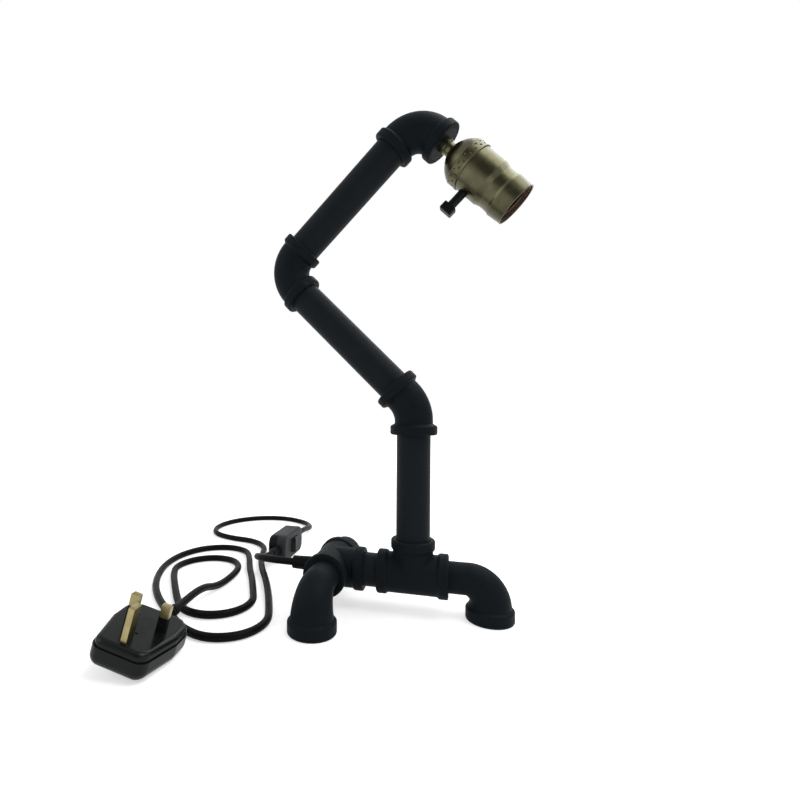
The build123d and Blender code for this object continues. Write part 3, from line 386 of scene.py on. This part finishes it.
def lathe(name, profile, slot, node, segments, sharp, dent=None):
    """Turns a closed profile round the holder's axis, in place of a node of the head."""
    turn = basis(HOLDER_DIR)
    verts, faces = [], []
    count = len(profile)
    for step in range(segments):
        angle = 2 * math.pi * step / segments
        for radius, along in profile:
            if dent:
                radius = dent(radius, along, angle)
            point = Vector((radius * math.cos(angle), radius * math.sin(angle), along)) * MM
            verts.append(RIM_AT + turn @ point)
    for step in range(segments):
        here, there = step * count, (step + 1) % segments * count
        for row in range(count):
            after = (row + 1) % count
            faces.append((here + row, there + row, there + after, here + after))
    piece = mesh_object(name, verts, faces, LOOKS[slot])
    smooth(piece, sharp)
    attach(piece, "head")
    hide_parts(node)
    return piece


def dimples(radius, along, angle):
    """Two staggered rows of short punched dimples round the cap's band."""
    if radius < CAP_R - CAP_WALL - 0.1:
        return radius
    for place, shift in DIMPLE_ROWS:
        turn = (angle * DIMPLES / (2 * math.pi) + shift) % 1 - 0.5
        across = turn * 2 * math.pi * CAP_R / DIMPLES / DIMPLE_HALF_LENGTH
        reach = across ** 2 + ((along - place) / DIMPLE_HALF_WIDTH) ** 2
        if reach < 1:
            radius -= DIMPLE_DEPTH * math.sqrt(1 - reach)
    return radius


def holder_cap():
    """The domed cap, with its punched band and a rolled lip over the shell."""
    band = [BAND_FROM + BAND_STEP * k for k in range(BAND_STEPS)]
    inner_r = CAP_R - CAP_WALL
    dome = bow((NECK_R, CAP_TOP), (0.72 * CAP_R, -16.75), (CAP_R - 0.05, -8.4))
    step = [(CAP_R + 0.14, -8.15), (CAP_R + 0.12, -7.95)]
    lip = [(CAP_R + 0.1, -1.5), (CAP_R + 0.32, -1.15), (CAP_R + 0.4, -0.7),
           (CAP_R + 0.28, -0.25), (CAP_R - 0.1, 0.0), (inner_r, -0.1)]
    under = bow((inner_r, -8.4), (0.72 * CAP_R - 0.36, -16.3), (NECK_R, CAP_TOP + CAP_WALL))
    hub = [(NECK_R, CAP_TOP + HUB), (TUBE_R, CAP_TOP + HUB), (TUBE_R, CAP_TOP)]
    profile = (dome + step + [(CAP_R, along) for along in band] + lip
               + [(inner_r, along) for along in reversed(band)] + under + hub)
    lathe("holder_cap", profile, "aged_brass", "socket_cap", segments=DIMPLES * 18, sharp=40,
          dent=dimples)


def holder_shell():
    """The spun shell: barrel, soft shoulder, waist, bead, skirt and a rolled mouth."""
    side = [(18.35, -4.5, 0), (18.35, 18.8, 2.4), (16.95, 23.6, 2.2), (16.85, 27.0, 3.0),
            (17.1, 31.0, 1.6), (17.9, 33.2, 1.0), (17.7, 35.2, 1.4), (16.9, MOUTH_AT, 0)]
    roll = [(ROLL_AT_R + ROLL_R * math.cos(math.radians(turn)),
             MOUTH_AT + ROLL_R * math.sin(math.radians(turn)), 0)
            for turn in range(15, 181, 15)]
    inside = [(radius - SHELL_WALL, along, size) for radius, along, size in reversed(side)]
    shell = lathe("holder_shell", rounded(side + roll + inside), "aged_brass", "socket_shell",
                  segments=128, sharp=30)
    cut_hole(shell, KNOB_AT, KNOB_DIR, KNOB_HOLE_R * MM, HOLE_REACH * MM)
    smooth(shell, 30)


def cut_hole(piece, start, direction, radius, length):
    """Cuts a round hole through a piece on one side of a point."""
    mesh = bpy.data.meshes.new("cutter")
    shape = bmesh.new()
    bmesh.ops.create_cone(shape, cap_ends=True, segments=48, radius1=radius, radius2=radius,
                          depth=length)
    place = Matrix.Translation(start + direction * length / 2) @ basis(direction).to_4x4()
    bmesh.ops.transform(shape, matrix=place, verts=shape.verts)
    shape.to_mesh(mesh)
    shape.free()
    cutter = bpy.data.objects.new("cutter", mesh)
    bpy.context.scene.collection.objects.link(cutter)
    hole = piece.modifiers.new("hole", "BOOLEAN")
    hole.operation, hole.solver, hole.object = "DIFFERENCE", "EXACT", cutter
    ready = piece.evaluated_get(bpy.context.evaluated_depsgraph_get())
    result = bpy.data.meshes.new_from_object(ready)
    piece.modifiers.clear()
    piece.data = result
    bpy.data.objects.remove(cutter)


def thread(radius, along, angle):
    """A rolled round thread, run out at both ends of the screw shell."""
    if radius < THREAD_R - 0.01:
        return radius
    inside = min(along - THREAD_FROM - 0.6, THREAD_TO - along - 0.4)
    ends = min(1.0, max(0.0, inside / RUN_OUT))
    wave = 0.5 - 0.5 * math.cos(2 * math.pi * along / THREAD_PITCH - angle)
    return radius - THREAD_DEPTH * wave * ends


def threaded_shell():
    start = THREAD_FROM + THREAD_FLOOR
    length = THREAD_TO - THREAD_FROM - THREAD_FLOOR
    inner = [(THREAD_R, start + length * k / THREAD_STEPS) for k in range(THREAD_STEPS + 1)]
    outer = [(THREAD_R + THREAD_WALL, along) for _, along in reversed(inner)]
    ledge = [(THREAD_R - THREAD_LEDGE, THREAD_FROM), (THREAD_R - THREAD_LEDGE, start)]
    profile = ledge + inner + outer + [(THREAD_R + THREAD_WALL, THREAD_FROM)]
    lathe("threaded_shell", profile, "screw_shell_metal", "screw_shell", segments=96, sharp=50,
          dent=thread)


holder_cap()
holder_shell()
threaded_shell()

# ------------------------------------------------------------------ camera
# Solved from the ends of the pipes, the feet and the plug's pins in the photograph.
EYE = (0.05078, -0.39972, 0.16654)
YAW, PITCH, ROLL = math.radians(15.872), math.radians(0.16), math.radians(0.347)
LENS, SENSOR = 22.0, 36.0
SHIFT = (0.1002, 0.0062)


def make_camera():
    ahead = Vector((-math.sin(YAW) * math.cos(PITCH), math.cos(YAW) * math.cos(PITCH),
                    -math.sin(PITCH)))
    level = Vector((math.cos(YAW), math.sin(YAW), 0))
    head_up = level.cross(ahead)
    right = level * math.cos(ROLL) + head_up * math.sin(ROLL)
    up = head_up * math.cos(ROLL) - level * math.sin(ROLL)
    data = bpy.data.cameras.new("camera")
    data.sensor_width, data.lens = SENSOR, LENS
    data.shift_x, data.shift_y = SHIFT
    data.clip_start = 0.01
    camera = bpy.data.objects.new("camera", data)
    bpy.context.scene.collection.objects.link(camera)
    turn = Matrix((right, up, right.cross(up))).transposed().to_4x4()
    camera.matrix_world = Matrix.Translation(EYE) @ turn
    bpy.context.scene.camera = camera


make_camera()

# ------------------------------------------------------------------ free cord
CORD = 0.0062
REST = 0.0032                      # height of a strand's centre on the floor
SWITCH_X, SWITCH_Z = -0.131, 0.0135
LAMP_ROUTE = [
    (-0.085406, 0, 0.030), (-0.110, 0, 0.030), (-0.131, 0.021, 0.025),
    (SWITCH_X, 0.049, SWITCH_Z), (SWITCH_X, 0.087, SWITCH_Z),
]
# On the floor, in millimetres: the loop behind, the outer loop and the inner loop.
FLOOR_ROUTE = [
    (-150, 240), (-184, 256), (-220, 248), (-247, 222), (-256, 186), (-243, 154), (-213, 140),
    (-182, 137), (-159, 117), (-151, 85), (-137, 52), (-120, 22), (-106, -7), (-94, -35),
    (-85, -60), (-93, -84), (-115.5, -95.5), (-140, -88), (-163, -68), (-187, -47), (-208, -22),
    (-224, 7), (-234.5, 37), (-235, 69), (-222, 95), (-197, 106), (-173, 98), (-160, 75),
    (-148, 48), (-134, 22), (-121, -5), (-110, -29.5), (-116.5, -52), (-136, -63.5),
    (-159, -58.5), (-175.5, -38.5), (-193, -14), (-208, 8), (-220, 30), (-214.5, 53.5),
    (-196, 67.5), (-173, 65), (-158, 47), (-154, 21), (-155, -6),
]
PLUG_ROUTE = (
    [(SWITCH_X, 0.127, SWITCH_Z), (SWITCH_X, 0.167, SWITCH_Z), (-0.132, 0.207, 0.006)]
    + [(x * MM, y * MM, REST) for x, y in FLOOR_ROUTE]
    + [(-0.1545, -0.034, 0.0128), (-0.151742, -0.071918, 0.013026),
       (-0.1481, -0.109743, 0.013026)]
)


def flex(name, points, node):
    """A round cord on one smooth spline through its control points, in place of a node."""
    data = bpy.data.curves.new(name, "CURVE")
    data.dimensions = "3D"
    data.bevel_depth = CORD / 2
    data.bevel_resolution = 8
    data.resolution_u = 16
    data.use_fill_caps = True
    spline = data.splines.new("NURBS")
    spline.points.add(len(points) - 1)
    for target, point in zip(spline.points, points):
        target.co = (*point, 1)
    spline.order_u = 3
    spline.use_endpoint_u = True
    data.materials.append(LOOKS["flex_black"])
    piece = bpy.data.objects.new(name, data)
    bpy.context.scene.collection.objects.link(piece)
    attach(piece, "base")
    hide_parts(node)
    return piece


lamp_cord = flex("lamp_cord", LAMP_ROUTE, "cord_lamp")
mains_cord = flex("mains_cord", PLUG_ROUTE, "cord_plug")

# ------------------------------------------------------------------ stage and light
FLOOR_HALF = 6.0
FLOOR_WHITE = (0.86, 0.86, 0.86, 1)
GLOW_NEAR, GLOW_FAR = 0.52, 1.0    # what a look adds to the floor's own light
NEAR, FAR = 0.35, 1.1              # distances from the lamp between which the glow grows
SKY_LIGHT, SKY_SEEN = 0.45, 1.0    # strength as a light, and as a background
# Name, place, target, half width, half height and glow
DARK_CARDS = (
    ("front_card", (0.14, -0.95, 0.72), (0.07, 0, 0.345), 0.40, 0.50, 0.2),
    ("side_card", (0.95, 0.12, 0.95), (0.08, 0, 0.34), 0.30, 0.42, 0.22),
)
# Name, place, target, size and power
AREA_LIGHTS = (
    ("top", (0.5, 0.05, 1.05), (0, 0, 0.2), (1.0, 0.8), 9),
    ("fill", (-1.2, -0.8, 0.9), (0, 0, 0.2), (1.0, 1.0), 5),
    ("back", (0.2, 1.3, 1.2), (0, 0, 0.25), (1.2, 0.6), 5),
)


def either(tree, first, second):
    """The larger of two sockets, so that either of two kinds of ray counts."""
    node = tree.nodes.new("ShaderNodeMath")
    node.operation = "MAXIMUM"
    tree.links.new(first, node.inputs[0])
    tree.links.new(second, node.inputs[1])
    return node.outputs[0]


def floor():
    """A white floor that keeps the lamp's shadow and brightens into the background."""
    g = Graph("floor")
    g.set(Base_Color=FLOOR_WHITE, Roughness=0.9, Specular_IOR_Level=0.1)
    ray = g.add("ShaderNodeLightPath")
    seen = either(g.tree, ray.outputs["Is Camera Ray"], ray.outputs["Is Glossy Ray"])
    distance = g.add("ShaderNodeVectorMath", operation="LENGTH")
    g.join(g.place, distance.inputs[0])
    glow = g.add("ShaderNodeMath", operation="MULTIPLY")
    g.join(seen, glow.inputs[0])
    g.join(g.scaled(distance.outputs["Value"], GLOW_NEAR, GLOW_FAR, NEAR, FAR), glow.inputs[1])
    g.set(Emission_Color=WHITE)
    g.join(glow.outputs[0], g.shader.inputs["Emission Strength"])
    panel("floor", FLOOR_HALF, FLOOR_HALF, g.mat)


def dark_card(name, place, target, half_width, half_height, glow):
    """A dark card, seen only in what the object reflects."""
    g = Graph(name)
    g.set(Base_Color=(0.01, 0.01, 0.01, 1), Roughness=1.0, Specular_IOR_Level=0.0,
          Emission_Color=WHITE, Emission_Strength=glow)
    card = panel(name, half_width, half_height, g.mat)
    aim(card, place, target, "Z")
    card.visible_camera = card.visible_diffuse = card.visible_shadow = False


def area_light(name, place, target, size, power):
    data = bpy.data.lights.new(name, "AREA")
    data.shape = "RECTANGLE"
    data.size, data.size_y = size
    data.energy = power
    lamp = bpy.data.objects.new(name, data)
    bpy.context.scene.collection.objects.link(lamp)
    aim(lamp, place, target, "-Z")


def world():
    """White where it is seen or reflected, and dimmer as a light."""
    sky = bpy.data.worlds.new("studio")
    sky.use_nodes = True
    tree = sky.node_tree
    ray = tree.nodes.new("ShaderNodeLightPath")
    seen = either(tree, ray.outputs["Is Camera Ray"], ray.outputs["Is Glossy Ray"])
    seen = either(tree, seen, ray.outputs["Is Transmission Ray"])
    strength = tree.nodes.new("ShaderNodeMapRange")
    strength.inputs["To Min"].default_value = SKY_LIGHT
    strength.inputs["To Max"].default_value = SKY_SEEN
    tree.links.new(seen, strength.inputs["Value"])
    background = tree.nodes["Background"]
    background.inputs["Color"].default_value = WHITE
    tree.links.new(strength.outputs["Result"], background.inputs["Strength"])
    bpy.context.scene.world = sky


floor()
world()
for card in DARK_CARDS:
    dark_card(*card)
for light in AREA_LIGHTS:
    area_light(*light)
bpy.context.scene.view_settings.view_transform = "Standard"
